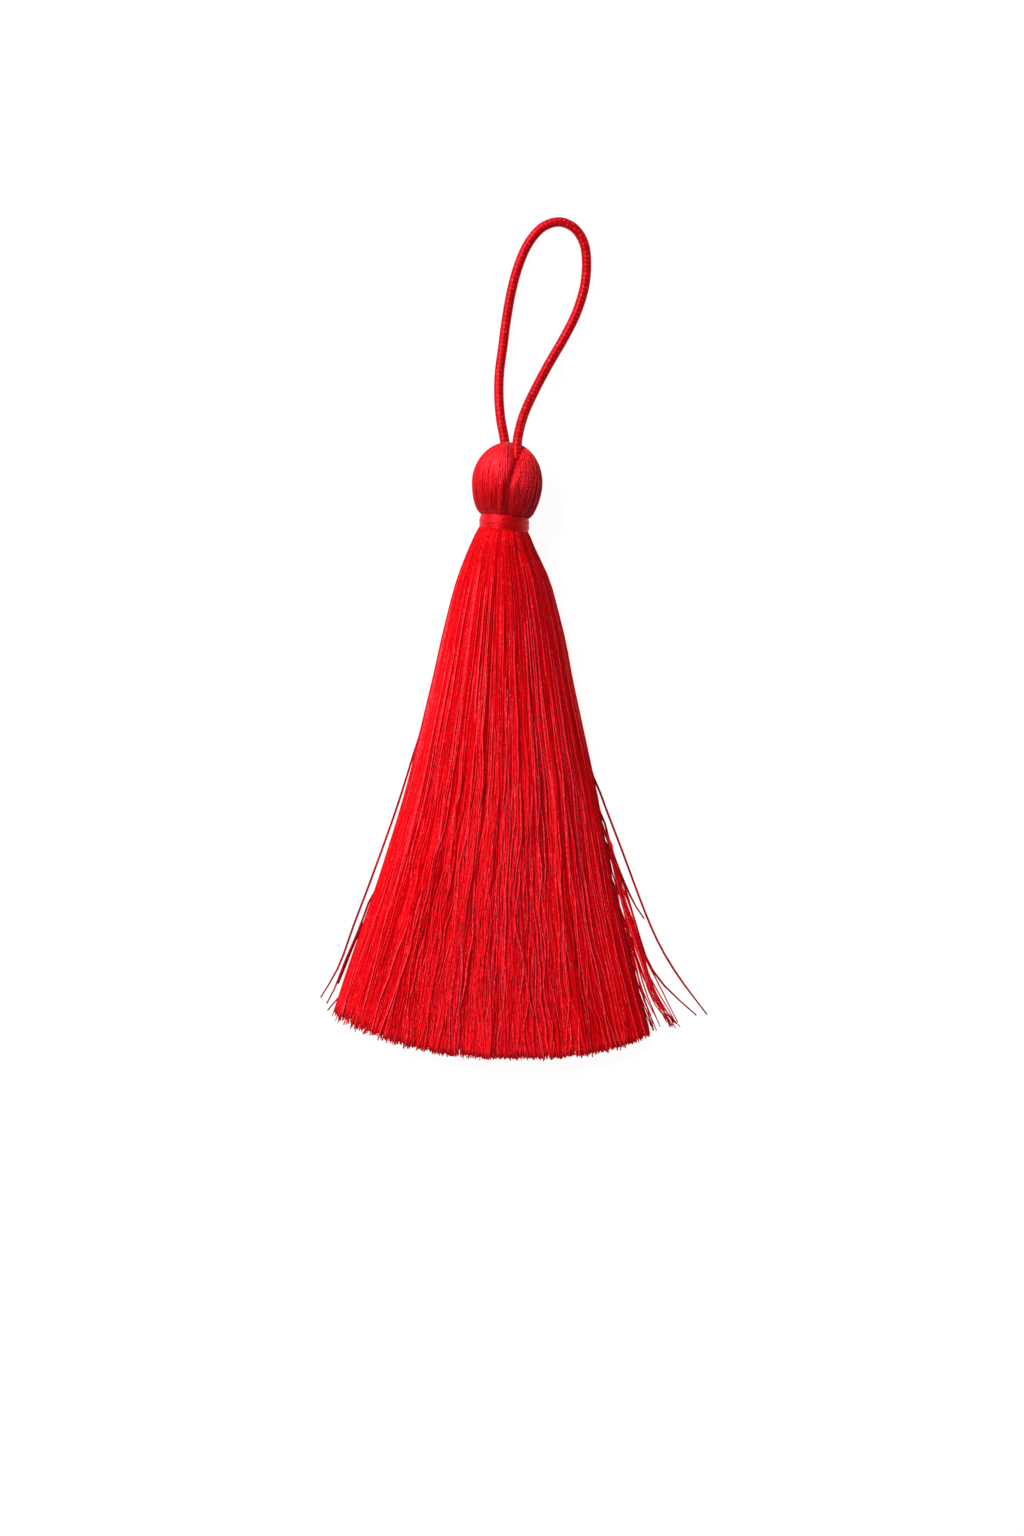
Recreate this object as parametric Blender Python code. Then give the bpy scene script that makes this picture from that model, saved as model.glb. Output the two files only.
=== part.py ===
"""Silk tassel lying on its back: a folded skein of silk bound at the neck, and its hanging loop.

Units are metres and +Z is up. The tassel lies on the plane z = 0 along Y, with its loop
towards +Y and the cut ends of its skirt towards -Y. The origin is the middle of the small
flat spot that the head rests on.

A maker folds one skein of silk threads over the hanging loop and ties it below the fold.
So the part has three pieces: the skein, whose fold is the head and whose two ends together
are the skirt, the binding wound round its neck, and the loop of cord.
"""

import math
import random

import bmesh
import bpy
from mathutils import Matrix, Vector

MM = 0.001

# Clearance between pieces that touch on the real tassel
GAP = 0.3 * MM

# Head, the rounded fold of the skein
HEAD_RADIUS = 4.5 * MM
HEAD_CENTRE_UP = 4.3 * MM
HEAD_TOP = 5.2 * MM
HEAD_UNDER = 6.3 * MM
HEAD_END = -3.85 * MM
HEAD_RINGS = 10
HEAD_SIDES = 44
LOCK_RELIEF = 0.06 * MM

# Cleft down the front of the head, where the two lobes of the fold meet
CLEFT_DEPTH = 1.15 * MM
CLEFT_DEPTH_AT_NECK = 0.55 * MM
CLEFT_WIDTH = 0.80 * MM
CLEFT_TOP_X = 1.2 * MM
CLEFT_NECK_X = 0.55 * MM

# Binding wound round the neck, and the neck under it
BAND_RADIUS = 3.25 * MM
BAND_CROWN = 0.12 * MM
BAND_HEIGHT = 2.2 * MM
BAND_THICKNESS = 0.4 * MM
BAND_SIDES = 40
BAND_STEPS = 6
NECK_RADIUS = BAND_RADIUS - BAND_THICKNESS - GAP
BAND_TOP = HEAD_END - GAP
BAND_END = BAND_TOP - BAND_HEIGHT

# Collar below the binding, where the skirt's strands are rooted
COLLAR_TOP = BAND_END - GAP
COLLAR_RADIUS = 3.45 * MM
ROOTS_Y = COLLAR_TOP - 0.4 * MM
ROOT_RADIUS = 3.0 * MM
ROOT_DEPTH = 0.2 * MM

# The head leans on its neck, and the binding is wound aslant
NECK_ASIDE = -0.45 * MM
NECK_DROP = 0.35 * MM
SLANT = 0.12
SLANT_AT = -5.6 * MM
SLANT_REACH = 3.5 * MM

# Skirt: the strands stand in columns across it, each column a few strands high
COLUMNS = 32
MOST_LAYERS = 7
LAYER_UNEVEN = 0.3
EDGE_ACROSS = 0.985
EDGE_HEIGHT = 0.5 * MM
CROWN_POWER = 1.1
GAP_SHARE_ROOT = 0.10
GAP_SHARE_TIP = 0.30
STATION_SHARES = (0.0, 0.05, 0.14, 0.34, 0.64)
TIP_Y = -74.6 * MM
TIP_CUT_BACK = {-1: 6.3 * MM, 1: 4.2 * MM}
TIP_RAGGED = 0.7 * MM
UNDER_SHORTER = 0.9 * MM
FREE_SHARE = 0.8
SEED = 11

# Soft ridges between the skirt's main locks, as parts of its height there: how many turns
# of a wave across the skirt, how far into its turn each starts, and its height
CREASE_COLUMNS = ("turns", "start", "height")
CREASE_ROWS = (
    (1.45, 0.00, 0.016),
    (2.70, 0.20, 0.012),
    (4.60, 0.11, 0.007),
)

# How far the columns lean and sway, as parts of the skirt's half width
LEAN = 0.075
SWAY = 0.022
SWAY_TURNS = 1.27
SWAY_LENGTH = 88 * MM

# Outline of the skirt as it lies: left and right edge, underside and crown, and how round
# the section is, from 1 at the neck to 0 where it lies flat
SKIRT_COLUMNS = ("y", "left", "right", "low", "high", "round")
SKIRT_ROWS = (
    (-7.05, -3.95, 2.75, 0.55, 7.25, 1.00),
    (-10.0, -5.60, 4.20, 0.25, 7.50, 0.80),
    (-15.2, -7.35, 6.05, 0.00, 7.55, 0.45),
    (-25.7, -9.80, 8.50, 0.00, 7.10, 0.10),
    (-41.3, -13.6, 11.9, 0.00, 6.10, 0.00),
    (-56.9, -18.6, 15.4, 0.00, 5.00, 0.00),
    (-67.4, -22.2, 17.9, 0.00, 4.30, 0.00),
    (-75.0, -24.6, 19.8, 0.00, 3.80, 0.00),
)

# Single threads that stray from the skirt's edges: side, where each leaves the edge, and
# its tip, in millimetres, the outermost of each side first
STRAY_COLUMNS = ("side", "leave_y", "tip_x", "tip_y")
STRAY_ROWS = (
    (-1, -30.9, -24.4, -67.1),
    (-1, -38.7, -23.6, -67.9),
    (1, -36.1, 26.1, -69.3),
    (1, -38.5, 17.6, -56.7),
    (1, -46.5, 24.7, -69.4),
    (1, -49.7, 23.6, -70.8),
    (1, -53.9, 22.1, -70.9),
    (1, -57.5, 20.9, -71.0),
)
STRAY_WIDTH = 0.26 * MM
STRAY_CLEAR = 0.03 * MM
STRAY_PITCH = 0.33 * MM
STRAY_ROOT_RADIUS = ROOT_RADIUS + 0.2 * MM
STRAY_ROOT_STEP = math.radians(7.5)
STRAY_BEND = 1.6
STRAY_SHARES = (0.0, 0.05, 0.14, 0.34, 0.52, 0.68, 0.84, 1.0)

# Hanging loop: the middle line of its cord, from the lower leg's root round to the upper's
CORD_DIAMETER = 1.3 * MM
CORD_SPACING = 2 * CORD_DIAMETER
CORD_ROUTE = (
    (-0.15, 4.0, 3.3),
    (-0.45, 6.0, 3.1),
    (-0.90, 8.5, 2.7),
    (-1.12, 11.3, 2.1),
    (-1.05, 14.5, 1.4),
    (-0.75, 17.8, 0.95),
    (-0.25, 21.2, 0.72),
    (0.45, 25.0, 0.66),
    (1.35, 28.4, 0.66),
    (2.65, 31.2, 0.66),
    (4.45, 33.15, 0.66),
    (6.65, 33.85, 0.66),
    (8.60, 33.05, 0.66),
    (9.80, 31.2, 0.66),
    (10.15, 28.7, 0.66),
    (9.80, 25.6, 0.66),
    (8.60, 22.2, 0.70),
    (6.95, 18.9, 1.00),
    (5.05, 15.6, 1.70),
    (3.35, 12.2, 2.75),
    (2.10, 9.2, 4.00),
    (1.45, 6.6, 5.15),
    (1.22, 4.6, 6.05),
    (1.18, 2.8, 6.70),
)

SILK = {"color": (0.72, 0.005, 0.012, 1.0), "roughness": 0.42, "sheen": 0.5}
BINDING_SILK = {"color": (0.76, 0.006, 0.015, 1.0), "roughness": 0.30, "sheen": 0.4}
CORD_SATIN = {"color": (0.70, 0.004, 0.010, 1.0), "roughness": 0.34, "sheen": 0.3}


def mixed(a, b, share):
    """The value that share of the way from a to b."""
    return a + (b - a) * share


def smooth(share):
    """An ease from 0 to 1 with level ends."""
    share = min(1.0, max(0.0, share))
    return share * share * (3 - 2 * share)


# Places on the tassel
def slanted(x, y, z):
    """The point as it lies, after the slant that the binding gives to the neck."""
    slant = SLANT * math.exp(-(((y - SLANT_AT) / SLANT_REACH) ** 2))
    aside = NECK_ASIDE * smooth(-y / -BAND_END)
    return Vector((x, y - slant * (x - aside), z))


def off_axis(x, y, z):
    """A point given from the tassel's own axis, which runs from the head into the neck."""
    share = smooth(y / BAND_END)
    return slanted(x + NECK_ASIDE * share, y, z + HEAD_CENTRE_UP - NECK_DROP * share)


def skirt_row(y):
    """The skirt's outline at y, in metres, read between the rows of the table."""
    rows = SKIRT_ROWS
    at = y / MM
    i = max(1, next((n for n, row in enumerate(rows) if row[0] <= at), len(rows) - 1))
    upper, lower = rows[i - 1], rows[i]
    share = (upper[0] - at) / (upper[0] - lower[0])
    row = {name: mixed(a, b, share) for name, a, b in zip(SKIRT_COLUMNS, upper, lower)}
    return {name: v if name == "round" else v * MM for name, v in row.items()}


def wave(turns):
    """A wave from -1 to 1, with one rise and fall for each whole turn."""
    return math.sin(2 * math.pi * turns)


def crease(across):
    """The soft ridges and troughs between the main locks, as parts of the skirt's height."""
    rows = [dict(zip(CREASE_COLUMNS, row)) for row in CREASE_ROWS]
    return sum(row["height"] * wave(row["turns"] * across + row["start"]) for row in rows)


def skirt_point(across, up, y):
    """A point of the skirt: across from -1 to 1, and up from 0 at its underside to 1."""
    row = skirt_row(y)
    sway = SWAY * wave(SWAY_TURNS * across + y / SWAY_LENGTH) * (1 - row["round"])
    across += (LEAN * (up - 0.5) + sway) * (1 - across * across)
    chord = math.sqrt(max(0.0, 1 - across * across))
    middle, rise = (row["low"] + row["high"]) / 2, (row["high"] - row["low"]) / 2
    flat_top = row["low"] + EDGE_HEIGHT + (2 * rise - EDGE_HEIGHT) * chord**CROWN_POWER
    low = mixed(row["low"], middle - rise * chord, row["round"])
    high = mixed(flat_top, middle + rise * chord, row["round"])
    high += (high - low) * crease(across) * (1 - row["round"])
    x = mixed(row["left"], row["right"], (1 + across) / 2)
    return slanted(x, y, mixed(low, high, up))


# Modelling helpers
def new_object(name, bm, material):
    """An object of the bmesh, which is freed."""
    mesh = bpy.data.meshes.new(name)
    bm.to_mesh(mesh)
    bm.free()
    obj = bpy.data.objects.new(name, mesh)
    bpy.context.scene.collection.objects.link(obj)
    if material is not None:
        mesh.materials.append(material)
    return obj


def new_material(name, look):
    """A cloth finish in a plain colour."""
    material = bpy.data.materials.new(name)
    material.use_nodes = True
    surface = material.node_tree.nodes["Principled BSDF"]
    surface.inputs["Base Color"].default_value = look["color"]
    surface.inputs["Roughness"].default_value = look["roughness"]
    surface.inputs["Metallic"].default_value = 0.0
    surface.inputs["Sheen Weight"].default_value = look["sheen"]
    return material


def make_helper(obj):
    """Marks an object that only cuts or joins, so that it is no piece of its own."""
    obj.hide_render = True
    obj.display_type = "WIRE"


def join_or_cut(obj, helper, operation):
    """A Boolean on obj by a helper object."""
    modifier = obj.modifiers.new(operation.title(), "BOOLEAN")
    modifier.operation = operation
    modifier.solver = "EXACT"
    modifier.object = helper


def spun(profile, sides):
    """A bmesh of a profile of (radius, y) points turned round the Y axis."""
    bm = bmesh.new()
    verts = [bm.verts.new((radius, y, 0)) for radius, y in profile]
    edges = [bm.edges.new(pair) for pair in zip(verts, verts[1:])]
    bmesh.ops.spin(
        bm,
        geom=verts + edges,
        axis=(0, 1, 0),
        cent=(0, 0, 0),
        steps=sides,
        angle=2 * math.pi,
        use_merge=True,
    )
    bmesh.ops.remove_doubles(bm, verts=bm.verts[:], dist=0.001 * MM)
    return bm


def grow(bm, rings):
    """A closed prism through rings of points, made by extruding its first face along them."""
    face = bm.faces.new([bm.verts.new(point) for point in rings[0]])
    for before, ring in zip(rings, rings[1:]):
        made = bmesh.ops.extrude_face_region(bm, geom=[face, *face.edges, *face.verts])
        face = next(g for g in made["geom"] if isinstance(g, bmesh.types.BMFace))
        for vert in face.verts:
            nearest = min(range(len(ring)), key=lambda n: (vert.co - before[n]).length)
            vert.co = ring[nearest]


# Skein: head, neck and collar
def core_profile():
    """(radius, y) of the head, neck and collar, from the fold down to the strands' roots."""
    last = math.acos(HEAD_END / HEAD_UNDER)
    profile = []
    for n in range(HEAD_RINGS + 1):
        angle = last * n / HEAD_RINGS
        reach = HEAD_TOP if angle < math.pi / 2 else HEAD_UNDER
        profile.append((HEAD_RADIUS * math.sin(angle), reach * math.cos(angle)))
    profile += [
        (NECK_RADIUS, HEAD_END),
        (NECK_RADIUS, COLLAR_TOP),
        (COLLAR_RADIUS - GAP / 2, COLLAR_TOP),
        (COLLAR_RADIUS, ROOTS_Y),
    ]
    return profile


def head_relief(x, y, z):
    """The point of the head sunk by its cleft, and raised by the locks of the fold."""
    radius = math.hypot(x, z)
    down = min(1.0, max(0.0, (HEAD_TOP - y) / (HEAD_TOP - HEAD_END)))
    depth = mixed(CLEFT_DEPTH, CLEFT_DEPTH_AT_NECK, down)
    cleft_x = mixed(CLEFT_TOP_X, CLEFT_NECK_X, down)
    sunk = depth * math.exp(-(((x - cleft_x) / CLEFT_WIDTH) ** 2)) if z > 0 else 0.0
    turns = math.atan2(z, x) / (2 * math.pi) * HEAD_SIDES
    ridge = LOCK_RELIEF * math.sin(math.pi * down) * (1 if round(turns) % 2 else -1)
    share = (radius + ridge) / radius
    return x * share, y, z * share - sunk


def make_core(material):
    """The skein's solid without its strands: the head flat where it rests, and the neck."""
    bm = spun(core_profile(), HEAD_SIDES)
    rim = [edge for edge in bm.edges if edge.is_boundary]
    bmesh.ops.contextual_create(bm, geom=rim)
    bmesh.ops.recalc_face_normals(bm, faces=bm.faces[:])
    on_head = HEAD_END - GAP / 2
    for vert in bm.verts:
        x, y, z = vert.co
        if y > on_head and NECK_RADIUS * 1.01 < math.hypot(x, z):
            x, y, z = head_relief(x, y, z)
        vert.co = off_axis(x, y, z)
        vert.co.z = max(0.0, vert.co.z)
    return new_object("silk_skein", bm, material)


# Skein: strands of the skirt
def tip_y(across, up, wobble):
    """Where a strand of the skirt is cut: an arc, a little ragged, and shorter underneath."""
    cut_back = TIP_CUT_BACK[1 if across > 0 else -1] * across * across
    return TIP_Y + cut_back + UNDER_SHORTER * (1 - up) + TIP_RAGGED * (wobble - 0.5)


def root_point(across, up):
    """A corner of a strand's root, on the collar's round face."""
    row = skirt_row(ROOTS_Y)
    chord = math.sqrt(max(0.0, 1 - across * across))
    x = (row["left"] + row["right"]) / 2 + ROOT_RADIUS * across
    z = (row["low"] + row["high"]) / 2 + ROOT_RADIUS * chord * (2 * up - 1)
    return slanted(x, ROOTS_Y + ROOT_DEPTH, z)


def within(cell, gap, shift):
    """The two sides of a cell drawn in by a gap, and shifted by less than that gap."""
    return [mixed(*cell, side + gap * shift) for side in (gap / 2, 1 - gap / 2)]


def strand_rings(across, up, rng):
    """The four-cornered rings of one strand, whose cell of the skirt is across by up."""
    tip = tip_y(sum(across) / 2, sum(up) / 2, rng.random())
    stations = [mixed(ROOTS_Y, TIP_Y, share) for share in STATION_SHARES] + [tip]
    rings = []
    for n, y in enumerate(stations):
        gap = mixed(GAP_SHARE_ROOT, GAP_SHARE_TIP, n / (len(stations) - 1))
        free = FREE_SHARE if n else 0.0
        sides = within(across, gap, free * (rng.random() - 0.5))
        levels = within(up, gap, free * (rng.random() - 0.5))
        if up[0] == 0.0:
            levels[0] = 0.0
        corners = [(sides[i], levels[j]) for i, j in ((0, 0), (1, 0), (1, 1), (0, 1))]
        if n:
            rings.append([skirt_point(a, u, y) for a, u in corners])
        else:
            rings.append([root_point(a, u) for a, u in corners])
    return rings


def make_strands():
    """Every strand of the skirt, as closed prisms that reach a little into the collar."""
    rng = random.Random(SEED)
    bm = bmesh.new()
    edges = [EDGE_ACROSS * (2 * n / COLUMNS - 1) for n in range(COLUMNS + 1)]
    for left, right in zip(edges, edges[1:]):
        middle = (left + right) / 2
        layers = max(2, round(MOST_LAYERS * math.sqrt(1 - middle * middle)))
        uneven = [LAYER_UNEVEN * (rng.random() - 0.5) for _ in range(1, layers)]
        inner = [(n + uneven[n - 1]) / layers for n in range(1, layers)]
        levels = [0.0, *inner, 1.0]
        for low, high in zip(levels, levels[1:]):
            grow(bm, strand_rings((left, right), (low, high), rng))
    strays = [dict(zip(STRAY_COLUMNS, row)) for row in STRAY_ROWS]
    for side in (-1, 1):
        for place, stray in enumerate(s for s in strays if s["side"] == side):
            grow(bm, stray_rings(stray, place))
    bmesh.ops.recalc_face_normals(bm, faces=bm.faces[:])
    helper = new_object("strands", bm, None)
    make_helper(helper)
    return helper


def stray_middle(stray, place, share):
    """The middle of a stray thread that share of the way from its root to its tip."""
    side, tip_x, tip = stray["side"], stray["tip_x"] * MM, stray["tip_y"] * MM
    angle = STRAY_ROOT_STEP * place
    row = skirt_row(mixed(ROOTS_Y, tip, share))
    middle = (row["left"] + row["right"]) / 2
    height = (row["low"] + row["high"]) / 2
    if share == 0.0:
        x = middle + side * STRAY_ROOT_RADIUS * math.cos(angle)
        return Vector((x, ROOTS_Y + ROOT_DEPTH, height + STRAY_ROOT_RADIUS * math.sin(angle)))
    out = STRAY_CLEAR + STRAY_WIDTH / 2
    half = row["right"] - middle + out
    rise = row["high"] - height + out
    x = middle + side * half * mixed(1.0, math.cos(angle), row["round"])
    resting = STRAY_WIDTH / 2 + STRAY_PITCH * place
    z = mixed(resting, height + rise * math.sin(angle), row["round"])
    leave = stray["leave_y"] * MM
    gone = max(0.0, (leave - row["y"]) / (leave - tip))
    tip_row = skirt_row(tip)
    tip_edge = tip_row["right"] if side > 0 else tip_row["left"]
    x += (tip_x - tip_edge - side * out) * gone**STRAY_BEND
    return Vector((x, row["y"], mixed(z, STRAY_WIDTH / 2, smooth(2 * gone))))


def stray_rings(stray, place):
    """The three-cornered rings of a thread that leaves the skirt's edge before its tip."""
    middles = [stray_middle(stray, place, share) for share in STRAY_SHARES]
    return [[slanted(x + dx, y, z + dz) for dx, dz in stray_corners()] for x, y, z in middles]


def stray_corners():
    """Offsets of a thread's three corners from its middle, flat side down."""
    half = STRAY_WIDTH / 2
    return ((-half, -half), (half, -half), (0.0, half))


# Binding and loop
def make_band(material):
    """The binding: one closed band, slightly barrelled, round the neck."""
    inner = BAND_RADIUS - BAND_THICKNESS
    outside = []
    for n in range(BAND_STEPS + 1):
        share = n / BAND_STEPS
        crown = BAND_CROWN * math.sin(math.pi * share)
        outside.append((BAND_RADIUS - BAND_CROWN + crown, mixed(BAND_TOP, BAND_END, share)))
    profile = [(inner, BAND_TOP), *outside, (inner, BAND_END), (inner, BAND_TOP)]
    bm = spun(profile, BAND_SIDES)
    bmesh.ops.recalc_face_normals(bm, faces=bm.faces[:])
    for vert in bm.verts:
        vert.co = off_axis(*vert.co)
    return new_object("neck_binding", bm, material)


def on_curve(points, at):
    """A point on the smooth curve through the points, at a whole or part number of them."""
    i = min(len(points) - 2, int(at))
    t = at - i
    before, after = points[max(0, i - 1)], points[min(len(points) - 1, i + 2)]
    start, end = points[i], points[i + 1]
    return 0.5 * (
        2 * start
        + (end - before) * t
        + (2 * before - 5 * start + 4 * end - after) * t * t
        + (3 * start - before - 3 * end + after) * t**3
    )


def cord_points():
    """Points an even distance apart on the smooth curve through the loop's route."""
    route = [Vector(point) * MM for point in CORD_ROUTE]
    fine_steps = 40
    count = (len(route) - 1) * fine_steps
    fine = [on_curve(route, n / fine_steps) for n in range(count + 1)]
    along = [0.0]
    for a, b in zip(fine, fine[1:]):
        along.append(along[-1] + (b - a).length)
    steps = round(along[-1] / CORD_SPACING)
    points, n = [], 0
    for step in range(steps + 1):
        target = along[-1] * step / steps
        while n < len(fine) - 2 and along[n + 1] < target:
            n += 1
        share = (target - along[n]) / (along[n + 1] - along[n])
        points.append(fine[n].lerp(fine[n + 1], share))
    return points


def make_tube(name, points, diameter, material):
    """A round cord through the points, with flat filled ends."""
    curve = bpy.data.curves.new(name, "CURVE")
    curve.dimensions = "3D"
    curve.bevel_depth = diameter / 2
    curve.bevel_resolution = 2
    curve.use_fill_caps = True
    spline = curve.splines.new("POLY")
    spline.points.add(len(points) - 1)
    for slot, point in zip(spline.points, points):
        slot.co = (*point, 1.0)
    if material is not None:
        curve.materials.append(material)
    obj = bpy.data.objects.new(name, curve)
    bpy.context.scene.collection.objects.link(obj)
    return obj


def make_seats(points):
    """The seats that the loop's two legs have in the head, a clearance wider and deeper."""
    first = points[0] + (points[0] - points[1]).normalized() * GAP
    last = points[-1] + (points[-1] - points[-2]).normalized() * GAP
    tube = make_tube("seats_curve", [first, *points, last], CORD_DIAMETER + 2 * GAP, None)
    bpy.context.view_layer.update()
    graph = bpy.context.evaluated_depsgraph_get()
    mesh = bpy.data.meshes.new_from_object(tube.evaluated_get(graph))
    bpy.data.objects.remove(tube)
    bm = bmesh.new()
    bm.from_mesh(mesh)
    bmesh.ops.remove_doubles(bm, verts=bm.verts[:], dist=0.001 * MM)
    bpy.data.meshes.remove(mesh)
    helper = new_object("seats", bm, None)
    make_helper(helper)
    return helper


def main():
    for obj in list(bpy.data.objects):
        bpy.data.objects.remove(obj)
    silk = new_material("silk", SILK)
    binding_silk = new_material("binding_silk", BINDING_SILK)
    cord_satin = new_material("cord_satin", CORD_SATIN)
    points = cord_points()
    skein = make_core(silk)
    join_or_cut(skein, make_seats(points), "DIFFERENCE")
    join_or_cut(skein, make_strands(), "UNION")
    make_band(binding_silk)
    make_tube("hanging_loop", points, CORD_DIAMETER, cord_satin)


main()
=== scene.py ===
"""Silk tassel as photographed: fine threads over its head and in its skirt, a wound neck
binding and a satin cord loop, lying on a pale floor under a camera that looks down on it.

Units are metres. Up in the picture is +Y, and the tassel lies on the plane z = 0.
"""

import math

import bmesh
import bpy
import numpy as np
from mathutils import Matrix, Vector


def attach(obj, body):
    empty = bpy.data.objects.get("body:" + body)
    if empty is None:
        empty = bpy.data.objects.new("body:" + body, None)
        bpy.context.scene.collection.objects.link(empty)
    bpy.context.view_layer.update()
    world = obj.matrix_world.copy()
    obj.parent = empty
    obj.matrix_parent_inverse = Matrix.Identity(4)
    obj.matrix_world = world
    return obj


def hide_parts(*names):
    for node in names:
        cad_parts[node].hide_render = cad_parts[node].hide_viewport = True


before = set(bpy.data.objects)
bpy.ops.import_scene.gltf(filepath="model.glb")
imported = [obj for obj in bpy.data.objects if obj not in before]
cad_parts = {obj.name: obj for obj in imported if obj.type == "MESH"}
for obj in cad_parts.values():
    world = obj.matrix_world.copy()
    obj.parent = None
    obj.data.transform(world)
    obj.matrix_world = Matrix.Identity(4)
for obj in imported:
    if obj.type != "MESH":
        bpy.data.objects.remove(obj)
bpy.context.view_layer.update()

MM = 0.001
CM = 0.01

# Camera: the photo's frame, and the size of one of its pixels at the tassel
FRAME_PIXELS = (1024, 1536)
PIXEL = 0.1303 * MM
FRAME_MIDDLE = (0.59 * MM, -37.1 * MM)
CAMERA_UP = 0.9
OUTLINE_UP = 2.5 * MM
SENSOR = 36.0

# Places that the CAD solids share: head, neck binding and the slant across the neck
HEAD_RADIUS = 4.5 * MM
HEAD_CENTRE_UP = 4.3 * MM
HEAD_TOP = 5.2 * MM
HEAD_UNDER = 6.3 * MM
HEAD_END = -3.85 * MM
BAND_TOP = -4.15 * MM
BAND_END = -6.35 * MM
BAND_RADIUS = 3.25 * MM
NECK_ASIDE = -0.45 * MM
NECK_DROP = 0.35 * MM
SLANT = 0.12
SLANT_AT = -5.6 * MM
SLANT_REACH = 3.5 * MM

# Skirt's outline in millimetres, as in the CAD solid, and gathered under the binding above
SKIRT_COLUMNS = ("y", "left", "right", "low", "high", "round")
SKIRT_ROWS = (
    (-5.4, -3.10, 2.20, 1.40, 6.60, 1.00),
    (-6.5, -3.86, 2.92, 0.70, 7.22, 1.00),
    (-7.05, -4.10, 3.02, 0.55, 7.32, 1.00),
    (-10.0, -5.55, 4.32, 0.25, 7.50, 0.80),
    (-12.6, -6.58, 5.50, 0.10, 7.55, 0.62),
    (-15.2, -7.34, 6.22, 0.00, 7.55, 0.45),
    (-20.4, -8.65, 7.55, 0.00, 7.35, 0.25),
    (-25.7, -9.80, 8.50, 0.00, 7.10, 0.10),
    (-41.3, -13.6, 11.9, 0.00, 6.10, 0.00),
    (-50.0, -16.3, 13.3, 0.00, 5.50, 0.00),
    (-56.9, -18.6, 14.7, 0.00, 5.00, 0.00),
    (-67.4, -22.2, 17.4, 0.00, 4.30, 0.00),
    (-75.0, -24.6, 19.6, 0.00, 3.80, 0.00),
)
EDGE_HEIGHT = 0.5 * MM
CROWN_POWER = 1.1
BEND_PARTS = (-0.07, -0.035, 0.0, 0.035, 0.07)
STRIP_ASPECT = 12
STRIP_SIDE_MARGIN = 0.1
STRIP_END_MARGIN = 0.04

# The loop's route in millimetres: the CAD solid's, nudged by up to 0.4 mm onto the photo's
CORD_DIAMETER = 1.3 * MM
CORD_ROUTE = (
    (-0.15, 4.0, 3.3),
    (-0.45, 6.0, 3.1),
    (-0.90, 8.5, 2.7),
    (-1.12, 11.3, 2.1),
    (-1.05, 14.5, 1.4),
    (-0.62, 17.8, 0.95),
    (-0.18, 21.2, 0.72),
    (0.48, 25.0, 0.66),
    (1.40, 28.4, 0.66),
    (2.70, 31.35, 0.66),
    (4.50, 33.45, 0.66),
    (6.70, 34.20, 0.66),
    (8.70, 33.40, 0.66),
    (9.98, 31.4, 0.66),
    (10.32, 28.7, 0.66),
    (10.02, 25.6, 0.66),
    (8.95, 22.2, 0.70),
    (7.30, 18.9, 1.00),
    (5.40, 15.6, 1.70),
    (3.62, 12.2, 2.75),
    (2.26, 9.2, 4.00),
    (1.50, 6.6, 5.15),
    (1.22, 4.6, 6.05),
    (1.18, 2.8, 6.70),
)

rng = np.random.default_rng(7)


# Numbers
def mixed(a, b, share):
    """The value that share of the way from a to b."""
    return a + (b - a) * share


def smooth(share):
    """An ease from 0 to 1 with level ends."""
    share = np.clip(share, 0.0, 1.0)
    return share * share * (3 - 2 * share)


def wave(turns):
    """A wave from -1 to 1, with one rise and fall for each whole turn."""
    return np.sin(2 * np.pi * turns)


def bump_at(x, middle, width):
    """A soft bump of height 1 at the middle."""
    return np.exp(-(((x - middle) / width) ** 2))


# Shader maths
class Wire:
    """A shader value that can stand in sums and products."""

    def __init__(self, tree, socket):
        self.tree = tree
        self.socket = socket

    def math(self, operation, *values):
        """A Math node on the values, of which this wire may be one."""
        node = self.tree.nodes.new("ShaderNodeMath")
        node.operation = operation
        for socket, value in zip(node.inputs, values):
            feed(self.tree, socket, value)
        return Wire(self.tree, node.outputs[0])

    def __add__(self, other):
        return self.math("ADD", self, other)

    def __sub__(self, other):
        return self.math("SUBTRACT", self, other)

    def __mul__(self, other):
        return self.math("MULTIPLY", self, other)

    def __truediv__(self, other):
        return self.math("DIVIDE", self, other)

    def __pow__(self, other):
        return self.math("POWER", self, other)

    __radd__ = __add__
    __rmul__ = __mul__

    def sin(self):
        return self.math("SINE", self)

    def wave(self):
        """A wave from 0 to 1, with one rise and fall for each whole turn."""
        return (self * (2 * math.pi)).sin() * 0.5 + 0.5


def feed(tree, socket, value):
    """Links a wire to the socket, or sets a plain value on it."""
    if isinstance(value, Wire):
        tree.links.new(value.socket, socket)
    else:
        socket.default_value = value


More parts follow.
